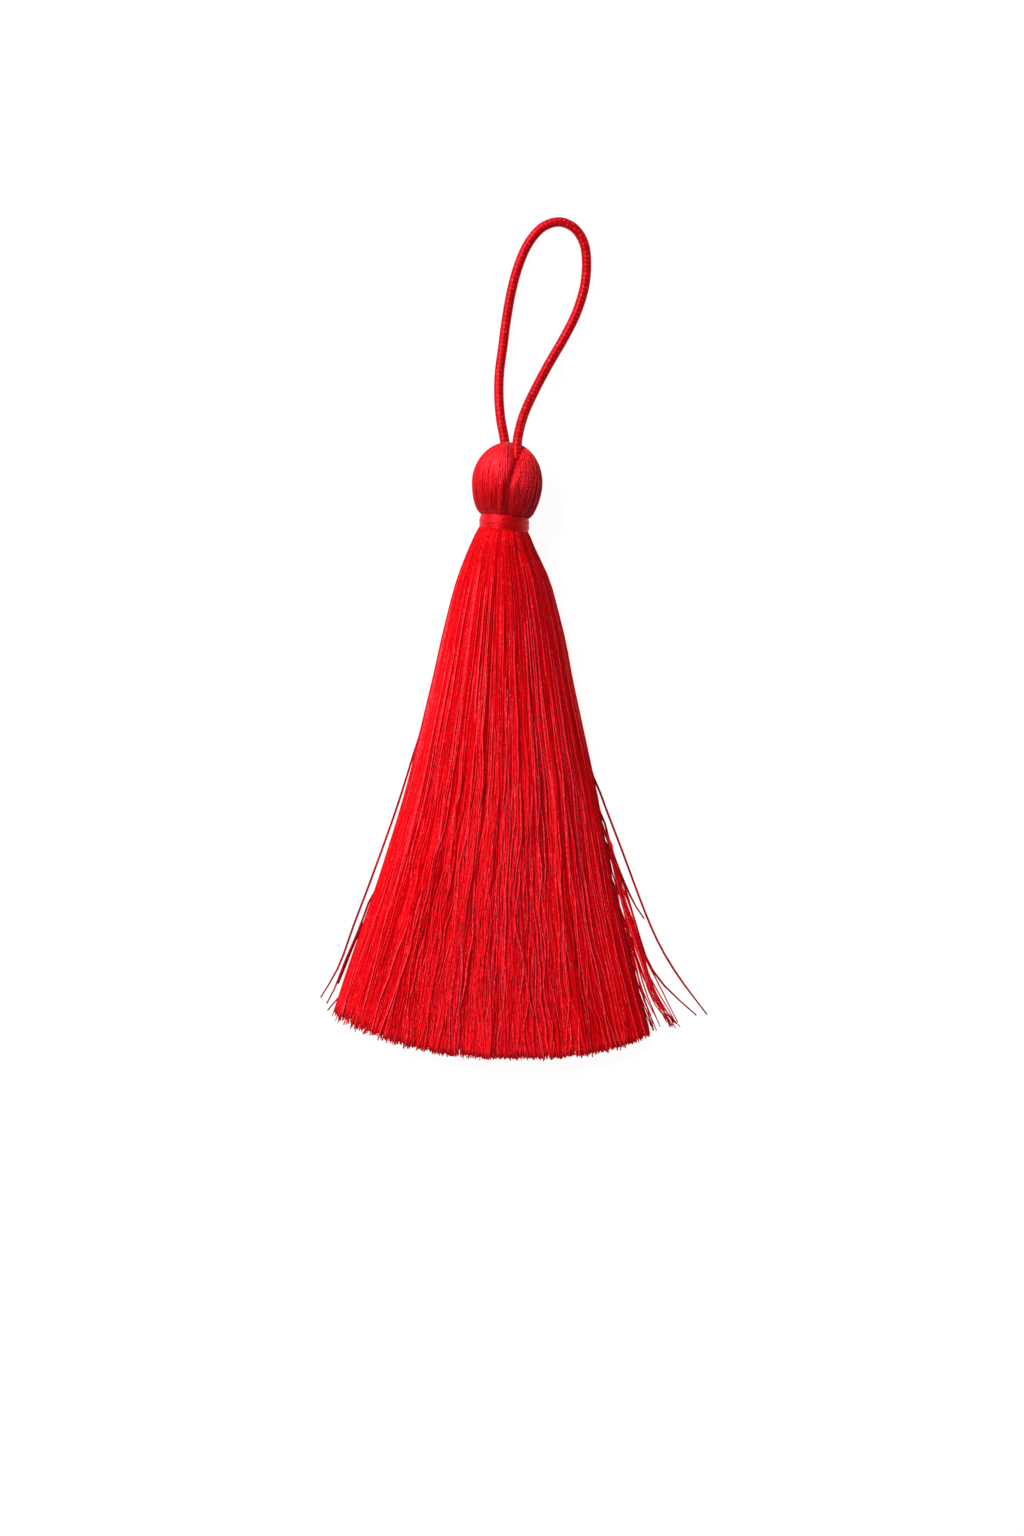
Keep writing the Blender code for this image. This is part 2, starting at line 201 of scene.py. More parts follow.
class Finish:
    """A material with one Principled shader, and the nodes that vary it."""

    def __init__(self, name, **constants):
        self.material = bpy.data.materials.new(name)
        self.material.use_nodes = True
        self.tree = self.material.node_tree
        self.surface = self.tree.nodes["Principled BSDF"]
        self.surface.distribution = "MULTI_GGX"
        for key, value in constants.items():
            socket = key.replace("_", " ").title().replace("Ior", "IOR")
            self.surface.inputs[socket].default_value = value

    def node(self, kind, sockets=None, out=0, **settings):
        """The chosen output of a new node with these settings and values or links."""
        node = self.tree.nodes.new(kind)
        for key, value in settings.items():
            setattr(node, key, value)
        for key, value in (sockets or {}).items():
            match = next(s for s in node.inputs if key in (s.identifier, s.name))
            feed(self.tree, match, value)
        if isinstance(out, str):
            return Wire(self.tree, next(s for s in node.outputs if out in (s.identifier, s.name)))
        return Wire(self.tree, node.outputs[out])

    def mix(self, share, a, b):
        """A colour that share of the way from a to b."""
        sockets = {"Factor_Float": share, "A_Color": a, "B_Color": b}
        return self.node("ShaderNodeMix", sockets, "Result_Color", data_type="RGBA")

    def map_parts(self, name):
        """The two numbers of the piece's own map."""
        place = self.node("ShaderNodeUVMap", uv_map=name)
        parts = self.tree.nodes.new("ShaderNodeSeparateXYZ")
        feed(self.tree, parts.inputs[0], place)
        return Wire(self.tree, parts.outputs[0]), Wire(self.tree, parts.outputs[1])

    def noise(self, place, scale, detail=2.0):
        """Soft noise from 0 to 1 at a place."""
        sockets = {"Vector": place, "Scale": scale, "Detail": detail}
        return self.node("ShaderNodeTexNoise", sockets)

    def point(self, x, y, z):
        """A place made of three numbers or wires."""
        return self.node("ShaderNodeCombineXYZ", {"X": x, "Y": y, "Z": z})

    def bump(self, height, distance, strength=1.0):
        """Raises the surface by height times a distance in metres."""
        sockets = {"Height": height, "Distance": distance, "Strength": strength}
        return self.node("ShaderNodeBump", sockets)

    def drive(self, name, value):
        """Feeds a socket of the shader."""
        feed(self.tree, self.surface.inputs[name], value)


# Camera
def make_camera():
    """The photo's view: straight down on the tassel as it lies."""
    data = bpy.data.cameras.new("photo_camera")
    height = FRAME_PIXELS[1] * PIXEL
    data.sensor_width = SENSOR
    data.lens = SENSOR * (CAMERA_UP - OUTLINE_UP) / height
    data.clip_start, data.clip_end = 0.01, 10.0
    camera = bpy.data.objects.new("photo_camera", data)
    camera.location = (*FRAME_MIDDLE, CAMERA_UP)
    bpy.context.scene.collection.objects.link(camera)
    bpy.context.scene.camera = camera


# Tubes and threads
def thread_ring(sides):
    """The ring that is swept along a thread, a millimetre in radius."""
    ring = bpy.data.curves.new("thread_ring", "CURVE")
    spline = ring.splines.new("POLY")
    spline.points.add(sides - 1)
    for n, point in enumerate(spline.points):
        turn = 2 * math.pi * n / sides
        point.co = (MM * math.cos(turn), MM * math.sin(turn), 0.0, 1.0)
    spline.use_cyclic_u = True
    obj = bpy.data.objects.new("thread_ring", ring)
    bpy.context.scene.collection.objects.link(obj)
    return obj


def tube_mesh(name, paths, radii, sides, tilts=None):
    """A mesh of open tubes, one along each path, whose vertices run thread by thread."""
    count, points = paths.shape[:2]
    curve = bpy.data.curves.new(name, "CURVE")
    curve.dimensions = "3D"
    curve.bevel_mode = "OBJECT"
    curve.bevel_object = thread_ring(sides)
    for n in range(count):
        spline = curve.splines.new("POLY")
        spline.points.add(points - 1)
        spline.points.foreach_set("co", np.c_[paths[n], np.ones(points)].ravel())
        spline.points.foreach_set("radius", radii[n] / MM)
        if tilts is not None:
            spline.points.foreach_set("tilt", tilts[n])
    obj = bpy.data.objects.new(name, curve)
    bpy.context.scene.collection.objects.link(obj)
    bpy.context.view_layer.update()
    graph = bpy.context.evaluated_depsgraph_get()
    mesh = bpy.data.meshes.new_from_object(obj.evaluated_get(graph))
    bpy.data.objects.remove(curve.bevel_object)
    bpy.data.objects.remove(obj)
    mesh.uv_layers.remove(mesh.uv_layers[0])
    return mesh


def map_threads(mesh, count, points, shades, lengths):
    """Maps the tubes: each thread's shade, how far round and along a corner is, and a strip
    of its own for each thread."""
    sides = len(mesh.vertices) // (count * points)
    corner = np.empty(len(mesh.loops), dtype=np.int32)
    mesh.loops.foreach_get("vertex_index", corner)
    ring, side = np.divmod(corner, sides)
    thread, station = np.divmod(ring, points)
    of_face = side.reshape(-1, 4)
    wraps = (of_face.max(1) == sides - 1) & (of_face.min(1) == 0)
    turn = np.where(np.repeat(wraps, 4) & (side == 0), sides, side) / sides
    along = lengths[thread, station] / CM
    strips = max(1, round(math.sqrt(count * STRIP_ASPECT)))
    aside = mixed(STRIP_SIDE_MARGIN, 1 - STRIP_SIDE_MARGIN, turn)
    down = mixed(STRIP_END_MARGIN, 1 - STRIP_END_MARGIN, station / (points - 1))
    u = (thread % strips + aside) / strips
    v = (thread // strips + down) / math.ceil(count / strips)
    shade = np.repeat(shades, len(mesh.vertices) // len(shades), axis=0)[corner]
    for name, places in (
        ("shade", shade),
        ("twist", np.stack([turn, along], 1)),
        ("OFBake", np.stack([u, v], 1)),
    ):
        mesh.uv_layers.new(name=name)
        mesh.uv_layers[name].uv.foreach_set("vector", places.astype(np.float32).ravel())


def close_ends(bm):
    """Fills the open ends of every tube, in the shade of its thread."""
    rims = [edge for edge in bm.edges if edge.is_boundary]
    made = bmesh.ops.holes_fill(bm, edges=rims, sides=32)
    layers = bm.loops.layers.uv.values()
    for face in made["faces"]:
        for loop in face.loops:
            beside = loop.link_loop_radial_next
            beside = beside if beside.vert == loop.vert else beside.link_loop_next
            for layer in layers:
                loop[layer].uv = beside[layer].uv


def closed_piece(name, mesh, material):
    """A piece of the mesh's tubes, closed at their ends."""
    bm = bmesh.new()
    bm.from_mesh(mesh)
    bpy.data.meshes.remove(mesh)
    close_ends(bm)
    bmesh.ops.recalc_face_normals(bm, faces=bm.faces[:])
    for face in bm.faces:
        face.smooth = not any(edge.is_boundary for edge in face.edges) and len(face.verts) == 4
    return new_piece(name, bm, material)


def path_lengths(paths):
    """How far along its path each point lies."""
    steps = np.linalg.norm(np.diff(paths, axis=1), axis=2)
    return np.concatenate([np.zeros((len(paths), 1)), np.cumsum(steps, axis=1)], axis=1)


def make_threads(name, paths, radii, shades, material, sides=3, tilts=None):
    """A piece of many threads, closed at their cut ends."""
    count, points = paths.shape[:2]
    mesh = tube_mesh(name, paths, radii, sides, tilts)
    map_threads(mesh, count, points, shades, path_lengths(paths))
    return closed_piece(name, mesh, material)


def new_piece(name, bm, material):
    """An object at the origin that rides with the tassel."""
    mesh = bpy.data.meshes.new(name)
    bm.to_mesh(mesh)
    bm.free()
    mesh.materials.append(material)
    obj = bpy.data.objects.new(name, mesh)
    bpy.context.scene.collection.objects.link(obj)
    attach(obj, "root")
    return obj


# Loop
def on_curve(points, at):
    """A point on the smooth curve through the points, at a whole or part number of them."""
    i = min(len(points) - 2, int(at))
    t = at - i
    before, after = points[max(0, i - 1)], points[min(len(points) - 1, i + 2)]
    start, end = points[i], points[i + 1]
    return 0.5 * (
        2 * start
        + (end - before) * t
        + (2 * before - 5 * start + 4 * end - after) * t * t
        + (3 * start - before - 3 * end + after) * t**3
    )


def even_points(points, spacing):
    """Points an even distance apart on the smooth curve through the points."""
    fine_steps = 60
    count = (len(points) - 1) * fine_steps
    fine = np.array([on_curve(points, n / fine_steps) for n in range(count + 1)])
    along = path_lengths(fine[None])[0]
    steps = round(along[-1] / spacing)
    at = np.linspace(0.0, along[-1], steps + 1)
    return np.stack([np.interp(at, along, fine[:, axis]) for axis in range(3)], 1), along[-1]


CORD_RING = 0.11 * MM
CORD_SIDES = 20
BRAID_YARNS = 6
BRAID_PITCH = 1.15 * MM
BRAID_RELIEF = 0.012 * MM


def make_cord(material):
    """The hanging loop: a satin cord with the small diamonds of its braid raised."""
    path, length = even_points(np.array(CORD_ROUTE) * MM, CORD_RING)
    radii = np.full(len(path), CORD_DIAMETER / 2 - BRAID_RELIEF)
    mesh = tube_mesh("loop_cord", path[None], radii[None], CORD_SIDES)
    verts = np.empty(len(mesh.vertices) * 3, dtype=np.float32)
    mesh.vertices.foreach_get("co", verts)
    rings = verts.reshape(len(path), -1, 3)
    around = BRAID_YARNS * np.arange(rings.shape[1])[None] / rings.shape[1]
    turns = np.arange(len(path))[:, None] * CORD_RING / BRAID_PITCH
    weave = wave(around + turns) * wave(around - turns)
    out = (rings - path[:, None]) / radii[0]
    rings = rings + out * (BRAID_RELIEF * weave)[..., None]
    mesh.vertices.foreach_set("co", rings.astype(np.float32).ravel())
    raised = np.stack([0.5 + 0.5 * weave.ravel(), np.zeros(weave.size)], 1)
    map_threads(mesh, 1, len(path), raised, path_lengths(path[None]))
    cord = closed_piece("loop_cord", mesh, material)
    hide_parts("hanging_loop")


# Places on the tassel
def slanted(points):
    """The points as they lie, after the slant that the binding gives to the neck."""
    x, y, z = points[..., 0], points[..., 1], points[..., 2]
    slant = SLANT * np.exp(-(((y - SLANT_AT) / SLANT_REACH) ** 2))
    aside = NECK_ASIDE * smooth(y / BAND_END)
    return np.stack([x, y - slant * (x - aside), z], -1)


def off_axis(points):
    """Points given from the tassel's own axis, which runs from the head into the neck."""
    share = smooth(points[..., 1] / BAND_END)
    moved = np.stack(
        [
            points[..., 0] + NECK_ASIDE * share,
            points[..., 1],
            points[..., 2] + HEAD_CENTRE_UP - NECK_DROP * share,
        ],
        -1,
    )
    return slanted(moved)


def skirt_row(name, y):
    """One column of the skirt's outline at y, in metres, or its roundness, with soft bends."""
    rows = np.array(SKIRT_ROWS)
    column = rows[:, SKIRT_COLUMNS.index(name)]
    near = [np.interp(-y / MM * (1 + part), -rows[:, 0], column) for part in BEND_PARTS]
    found = np.mean(near, axis=0)
    return found if name == "round" else found * MM


def skirt_points(across, up, y):
    """Points of the skirt: across from -1 to 1, and up from 0 at its underside to 1."""
    left, right, low, high, roundness = (skirt_row(name, y) for name in SKIRT_COLUMNS[1:])
    chord = np.sqrt(np.clip(1 - across * across, 0.0, 1.0))
    middle, rise = (low + high) / 2, (high - low) / 2
    flat_top = low + EDGE_HEIGHT + (2 * rise - EDGE_HEIGHT) * chord**CROWN_POWER
    bottom = mixed(low, middle - rise * chord, roundness)
    top = mixed(flat_top, middle + rise * chord, roundness)
    x = mixed(left, right, (1 + across) / 2)
    return slanted(np.stack([x, y, mixed(bottom, top, up)], -1))


# Waves
class Waves:
    """Soft random waves across the skirt, which change along it and from layer to layer."""

    def __init__(self, count, coarsest, finest):
        self.pace = np.geomspace(coarsest, finest, count)
        self.start = rng.random(count)
        self.drift = rng.uniform(-0.9, 0.9, count)
        self.layer = rng.uniform(-0.7, 0.7, count)

    def turns(self, across, share, up):
        """How many turns each wave has made at these places, along a new last axis."""
        places = (across[..., None], share[..., None], up[..., None])
        paces = (self.pace, self.drift, self.layer)
        return self.start + sum(place * pace for place, pace in zip(places, paces))


def stations(count, last, power):
    """Shares of a thread's length, close together near its root, with a short last step."""
    return np.append(last * np.linspace(0.0, 1.0, count) ** power, 1.0)


SHARES = stations(29, 0.988, 1.2)
FINE_SHARES = stations(45, 0.990, 1.15)


def wander(count, reach, turns, shares=SHARES):
    """A soft wave of its own along each thread, of up to reach."""
    start, pace = rng.random((count, 1)), turns * rng.uniform(0.6, 1.4, (count, 1))
    size = reach * rng.uniform(0.3, 1.0, (count, 1))
    return size * wave(start + pace * shares[None])


# Skirt: its threads run from under the binding to the cut
FIRST_Y = -5.45 * MM
TIP_Y = -74.95 * MM

# The cut: a shallow arc that rises more to the left, where it is frayed, with small notches,
# uneven ends and shorter threads beneath
HEM_MIDDLE = 0.187
LEFT_CUT, LEFT_CUT_POWER = 6.5 * MM, 2.45
RIGHT_CUT, RIGHT_CUT_POWER = 3.2 * MM, 2.6
NOTCHES = Waves(6, 8.0, 60.0)
NOTCH_DEPTH = 0.05 * MM
CUT_SPREAD = 0.15 * MM
CUT_EXTREMES = (-2.0, 3.0)
CORNER_FRAYED = 3.2
CORNER_FROM, CORNER_REACH = 0.65, 0.3
UNDER_SHORT = 1.0 * MM

# Streaks: soft ridges of threads drawn together, from broad to fine, that come and go
STREAKS = Waves(9, 2.6, 16.0)
STREAK_DRAW = 0.10
STREAK_RISE = 0.145 * MM
STREAK_LEAST = 0.35
STREAK_FINE_POWER = 0.6
SWELLS = np.linspace(0.6, 2.6, 9)
SWELL_STARTS = STREAKS.start * 7
LOOSENS = 1.4

# Locks of threads, and how far locks and threads wander as parts of the skirt's half width,
# each with the number of its waves
LOCKS = 190
LOCK_WIDTH = 0.026
LOCKS_REACH, THREADS_REACH, RESTING_REACH = 0.98, 0.995, 0.985
LOCK_SWING, LOCK_RIPPLE = (0.026, 1.5), (0.014, 6.0)
THREAD_SWING, THREAD_RIPPLE = (0.010, 2.6), (0.008, 7.0)
RISE_AND_FALL = (0.02, 1.9)
DEPTH_POWER = 1.2
DEPTH_SPREAD = 0.012
HIGHEST_UP = 1.04
TIP_CURL = 0.014
TIP_CURL_OUT = 0.6
TIP_CURL_POWER = 7
RESTING_SHARE = 0.45
RESTING_SWING = 0.10

# Threads: how thick they are, and how far a thread turns on itself, in radians
THICKNESSES = (0.75, 1.15)
ROOT_THINNING, ROOT_THINNED = 0.8, 1 / 3
TIP_THINNING = 0.85
FIRST_TURN = 6.28
MOST_TURNED = 9
SKIRT_LAYERS = (
    # piece, threads, least and most depth below the crown as a share, radius, shade
    ("skirt_crown_threads", 1080, 0.0, 0.06, 0.088 * MM, 0.52),
    ("skirt_second_threads", 1080, 0.03, 0.11, 0.092 * MM, 0.50),
    ("skirt_under_threads", 1080, 0.10, 1.0, 0.115 * MM, 0.42),
)

# Shades: random tones of locks and threads, and painted light and shade by place: a painted
# shadow under the binding, painted light in the middle and at the cut, and painted shade at the
# left and lower right
LOCK_TONES, THREAD_TONES = 0.09, 0.14
THREAD_FADE, LOCK_FADE = (0.12, 3.0), (0.10, 1.6)
SHADE_RANGE = (0.02, 0.84)
ROOT_PAINTED_SHADOW, ROOT_REACH = 0.85, 0.09
HEM_PAINTED_LIGHT, HEM_REACH = 0.45, 0.06
CENTRE_PAINTED_LIGHT, CENTRE_AT, CENTRE_WIDTH = 0.52, -0.05, 0.55
LEFT_PAINTED_SHADE = 0.24
RIGHT_PAINTED_SHADE = 0.32

# Loose threads, each raised above the crown by part of a millimetre for a stretch and sunk
# into it elsewhere
LOOSE_THREADS = 135
LOOSE_RADIUS = 0.115 * MM
LOOSE_REACH, LOOSE_EDGE, LOOSE_SPREAD = 0.97, 0.98, 0.012
LOOSE_SWINGS = ((0.028, 1.5), (0.018, 5.0), (0.008, 11.0))
LOOSE_CURL = 0.030
LOOSE_STARTS, LOOSE_LENGTHS, LOOSE_FADE = (0.0, 0.75), (0.25, 0.9), 0.12
LOOSE_SUNK, LOOSE_RAISED = -0.3, (0.04, 0.13)
# Shades so high that the silk's painted glints make these threads pale
LOOSE_SHADES = (0.86, 1.0)


def hem_y(across):
    """Where the skirt is cut: a shallow arc that rises more to the left."""
    left = across < HEM_MIDDLE
    aside = np.where(left, HEM_MIDDLE - across, across - HEM_MIDDLE)
    aside = aside / np.where(left, 1 + HEM_MIDDLE, 1 - HEM_MIDDLE)
    depth = np.where(left, LEFT_CUT, RIGHT_CUT)
    return TIP_Y + depth * aside ** np.where(left, LEFT_CUT_POWER, RIGHT_CUT_POWER)


def cut_y(across, up):
    """Where threads at these places are cut."""
    notch = wave(NOTCHES.turns(across, np.ones((1, 1)), up)).sum(-1) * NOTCH_DEPTH
    short = rng.normal(0.0, 1.0, across.shape).clip(*CUT_EXTREMES) * CUT_SPREAD
    short = short * (1 + CORNER_FRAYED * smooth((-across - CORNER_FROM) / CORNER_REACH))
    return hem_y(across) + notch + short + np.sqrt(1 - up) * UNDER_SHORT


def skirt_paths(across, up, swing, curl, shares):
    """The ways of threads that lie at these places of the skirt's section: swing is how far
    each wanders across it at every point, and curl how far their ends turn aside."""
    count = len(across)
    across, up, share = across[:, None], up[:, None], shares[None]
    y = mixed(FIRST_Y, cut_y(across, up), share)
    inside = smooth(share * LOOSENS) * (1 - across**4)
    turns = STREAKS.turns(across, share, up)
    drawn = (wave(turns) * STREAK_DRAW / (2 * np.pi * STREAKS.pace)).sum(-1)
    swell = mixed(STREAK_LEAST, 1.0, wave(SWELL_STARTS + share[..., None] * SWELLS) ** 2)
    height = (STREAKS.pace[0] / STREAKS.pace) ** STREAK_FINE_POWER
    ridge = -(wave(turns + 0.25) * swell * height).sum(-1)
    a = across + (drawn + swing) * inside
    aside = rng.normal(0.0, curl, (count, 1)) + TIP_CURL_OUT * curl * across
    a = a + aside * share**TIP_CURL_POWER
    u = up + wander(count, *RISE_AND_FALL, shares) * inside
    path = skirt_points(np.clip(a, -1.0, 1.0), np.clip(u, 0.0, HIGHEST_UP), y)
    path[..., 2] += ridge * STREAK_RISE * inside * up**2
    return path


def skirt_radii(radius, count, shares):
    """Radii along threads that are packed at the binding and frayed at the cut."""
    thinned = mixed(ROOT_THINNING, 1.0, smooth(shares / ROOT_THINNED))
    thinned[-1] = TIP_THINNING
    return radius * rng.uniform(*THICKNESSES, (count, 1)) * thinned[None]


def add_skirt_threads(name, path, radii, shade, material):
    """One piece of the skirt's threads, none of them under the floor."""
    count, points = path.shape[:2]
    path[..., 2] = np.maximum(path[..., 2], radii)
    shade = np.broadcast_to(shade, (count, points)).clip(0.0, 1.0)
    own = np.broadcast_to(rng.random((count, 1)), (count, points))
    shades = np.stack([shade.ravel(), own.ravel()], 1)
    turned = rng.uniform(-MOST_TURNED, MOST_TURNED, (count, 1))
    turned = np.linspace(0.0, 1.0, points)[None] * turned
    tilts = rng.uniform(0, FIRST_TURN, (count, 1)) + turned
    piece = make_threads(name, path, radii, shades, material, tilts=tilts)
    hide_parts("silk_skein")


def make_skirt(material):
    """The skirt's threads: locks of its crown, those beneath, some of which rest side by side
    on the floor, and loose ones that lie on top."""
    for name, count, top, bottom, radius, shade in SKIRT_LAYERS:
        lock = rng.integers(0, LOCKS, count)
        across = rng.permutation(np.linspace(-LOCKS_REACH, LOCKS_REACH, LOCKS))[lock]
        across = across + rng.normal(0.0, LOCK_WIDTH, count)
        across = across.clip(-THREADS_REACH, THREADS_REACH)
        depth = mixed(top, bottom, rng.random(LOCKS) ** DEPTH_POWER)[lock]
        up = (1 - depth - rng.normal(0.0, DEPTH_SPREAD, count)).clip(0.0, 1.0)
        swing = wander(LOCKS, *LOCK_SWING)[lock] + wander(count, *THREAD_SWING)
        swing = swing + wander(count, *THREAD_RIPPLE) + wander(LOCKS, *LOCK_RIPPLE)[lock]
        curl = np.full((count, 1), TIP_CURL)
        if bottom == 1.0:
            resting = round(count * RESTING_SHARE)
            across[:resting] = np.linspace(-RESTING_REACH, RESTING_REACH, resting)
            up[:resting] = 0.0
            swing[:resting] *= RESTING_SWING
            curl[:resting] *= RESTING_SWING
        path = skirt_paths(across, up, swing, curl, SHARES)
        # Each thread's shade: its random tone, plus painted light and shade by place
        shades = shade + lock_shades(lock) + painted_light_and_shade(across[:, None], up[:, None], SHARES)
        radii = skirt_radii(radius, count, SHARES)
        add_skirt_threads(name, path, radii, shades.clip(*SHADE_RANGE), material)
    make_loose_threads(material)


def lock_shades(lock):
    """How much paler each thread is for its own sake and its lock's."""
    count = len(lock)
    own = rng.normal(0.0, LOCK_TONES, LOCKS)[lock] + rng.normal(0.0, THREAD_TONES, count)
    return own[:, None] + wander(count, *THREAD_FADE) + wander(LOCKS, *LOCK_FADE)[lock]


def painted_light_and_shade(across, up, share):
    """How much paler, as painted light, the skirt's middle and cut ends are than its left side
    and lower right, painted darker as painted shade, and its root, painted darker as the
    binding's shadow."""
    middle = bump_at(across, CENTRE_AT, CENTRE_WIDTH) * smooth((share - 0.15) / 0.5)
    left = smooth((-across - 0.05) / 0.5) * smooth((1.1 - share) / 0.4)
    right = smooth((across - 0.35) / 0.5) * smooth((share - 0.75) / 0.2)
    hem = smooth((share - 1 + HEM_REACH) / HEM_REACH) * up**4
    root = smooth((ROOT_REACH - share) / ROOT_REACH)
    paler = CENTRE_PAINTED_LIGHT * middle + HEM_PAINTED_LIGHT * hem
    return paler - LEFT_PAINTED_SHADE * left - RIGHT_PAINTED_SHADE * right - ROOT_PAINTED_SHADOW * root


def make_loose_threads(material):
    """Single threads on the skirt's crown, painted pale by painted glints, each of which shows
    for a stretch.
    """
    count, share = LOOSE_THREADS, FINE_SHARES[None]
    across = np.linspace(-LOOSE_REACH, LOOSE_REACH, count) + rng.normal(0.0, LOOSE_SPREAD, count)
    across = across.clip(-LOOSE_EDGE, LOOSE_EDGE)
    swing = sum(wander(count, reach, turns, FINE_SHARES) for reach, turns in LOOSE_SWINGS)
    path = skirt_paths(across, np.ones(count), swing, LOOSE_CURL, FINE_SHARES)
    start = rng.uniform(*LOOSE_STARTS, (count, 1))
    end = start + rng.uniform(*LOOSE_LENGTHS, (count, 1))
    seen = smooth((share - start) / LOOSE_FADE) * smooth((end - share) / LOOSE_FADE)
    path[..., 2] += mixed(LOOSE_SUNK, rng.uniform(*LOOSE_RAISED, (count, 1)), seen) * MM
    shade = rng.uniform(*LOOSE_SHADES, (count, 1))
    radii = skirt_radii(LOOSE_RADIUS, count, FINE_SHARES)
    add_skirt_threads("skirt_loose_threads", path, radii, shade, material)


# Stray threads beside the skirt: how many lie together, how far they spread, and their way
# over the floor from where they leave the skirt's edge, in millimetres. Each rests on the
# floor, and thins to its tip
STRAYS = (
    (1, 0.0, ((-10.9, -30.9), (-14.1, -41.3), (-17.5, -50.9), (-20.0, -57.5), (-22.0, -63.0),
              (-24.4, -67.1))),
    (1, 0.0, ((-17.5, -53.0), (-19.3, -58.0), (-21.2, -62.5), (-22.6, -66.0), (-23.6, -67.9))),
    (1, 0.0, ((-18.6, -57.0), (-20.2, -60.5), (-21.3, -63.4), (-22.1, -65.3))),
    (1, 0.0, ((-20.2, -62.0), (-21.7, -66.5), (-22.5, -67.7), (-23.5, -68.8))),
    (1, 0.0, ((-20.8, -64.0), (-21.8, -67.6), (-22.5, -69.1))),
    (1, 0.0, ((10.7, -36.1), (12.5, -41.3), (14.9, -47.6), (17.8, -55.4), (19.9, -60.2),
              (22.5, -64.5), (26.1, -69.3))),
    (1, 0.0, ((12.2, -42.0), (13.6, -47.5), (15.2, -51.8), (16.7, -55.0), (17.9, -56.8))),
    (1, 0.0, ((13.0, -46.0), (15.2, -52.2), (17.0, -58.2), (18.4, -62.4), (20.6, -65.6),
              (24.7, -69.4))),
    (10, 3.3, ((13.1, -46.5), (14.0, -50.8), (14.9, -54.1), (15.9, -57.2), (16.8, -60.5),
               (17.9, -63.7), (19.2, -66.8), (21.2, -70.7))),
    (6, 1.7, ((12.6, -43.5), (14.1, -50.0), (15.4, -55.0), (16.7, -59.5), (18.1, -64.0),
              (19.4, -67.6), (22.0, -70.6))),
    (6, 2.2, ((13.6, -50.5), (15.1, -57.6), (15.8, -60.3), (16.6, -63.5), (17.5, -66.7),
              (18.4, -69.3), (19.0, -71.3))),
)
ROUTE_POINTS = 60
STRAY_POINTS = 34
STRAY_EDGE = 0.985
STRAY_RADIUS = 0.185 * MM
STRAY_Z = STRAY_RADIUS
STRAY_THINNING = 0.65

# Ropes of strays: how thick a thread is and how it waves, how far their ends and heights
# differ, how close together they start, and their shades
ROPE_RADIUS = 0.13 * MM
ROPE_WAVE, ROPE_WAVES = 0.18 * MM, (1.2, 2.4)
ROPE_RAGGED = (-0.4, 0.6)
ROPE_HEIGHT = 0.3 * MM
ROPE_GATHERED = 0.35
ROPE_SHADES = (0.5, 0.95)


def stray_path(route, spread, roped):
    """One thread's way: down the skirt's edge, and then over the floor along its route. One
    of a rope keeps to its side of the route, waves a little and may lie on the others."""
    fine = np.array([on_curve(route, at) for at in np.linspace(0, len(route) - 1, ROUTE_POINTS)])
    tip = route[-1, 1] + rng.uniform(*ROPE_RAGGED) * MM * roped
    y = mixed(FIRST_Y, tip, np.linspace(0.0, 1.0, STRAY_POINTS))
    side = np.sign(route[0, 0])
    edge = skirt_points(np.full(len(y), STRAY_EDGE * side), np.full(len(y), 0.5), y)
    gone = np.clip((route[0, 1] - y) / (route[0, 1] - tip), 0.0, 1.0)
    way = np.interp(-y, -fine[:, 1], fine[:, 0])
    aside = rng.uniform(-0.5, 0.5) * spread * mixed(ROPE_GATHERED, 1.0, gone**2)
    bend = wave(rng.random() + rng.uniform(*ROPE_WAVES) * gone)
    aside = aside + ROPE_WAVE * roped * bend
    x = np.where(gone > 0, way + aside * smooth(gone * 6), edge[:, 0])
    x = mixed(edge[:, 0], x, smooth(gone * 8))
    z = mixed(edge[:, 2], STRAY_Z + rng.random() * ROPE_HEIGHT * roped, smooth(3 * gone))
    return np.stack([x, edge[:, 1], z], -1)


def make_strays(material):
    """Single threads, and loose ropes of them, that leave the skirt's edges for the floor."""
    paths, roped = [], []
    for together, spread, route in STRAYS:
        for _ in range(together):
            paths.append(stray_path(np.array(route) * MM, spread * MM, together > 1))
            roped.append(together > 1)
    paths, roped = np.array(paths), np.array(roped)
    share = np.linspace(0.0, 1.0, STRAY_POINTS)[None]
    thinned = mixed(STRAY_THINNING, 1.0, smooth((1 - share) * 12))
    radii = np.where(roped, ROPE_RADIUS, STRAY_RADIUS)[:, None] * thinned
    shade = np.where(roped, rng.uniform(*ROPE_SHADES, len(paths)), 0.0)
    shades = np.stack([shade, rng.random(len(paths))], 1)
    piece = make_threads("stray_threads", paths, radii, shades, material)
    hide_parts("silk_skein")


# Head
HEAD_LEAN = 0.36
HEAD_LAYERS = (
    # threads, least and most out from the head, radius, shade and how much that varies
    (620, -0.12 * MM, -0.05 * MM, 0.105 * MM, 0.42, 0.10),
    (170, -0.06 * MM, 0.04 * MM, 0.085 * MM, 0.60, 0.20),
)
HEAD_POINTS = 28
HEAD_FIRST, HEAD_LAST_Y = 0.10, -5.2 * MM
# Painted shade on the head's right lobe and lower part, and a painted highlight on its upper left
# lobe
HEAD_PAINTED_SHADE = 0.58
HEAD_PAINTED_HIGHLIGHT = 0.48
HEAD_LOWEST = 0.08 * MM

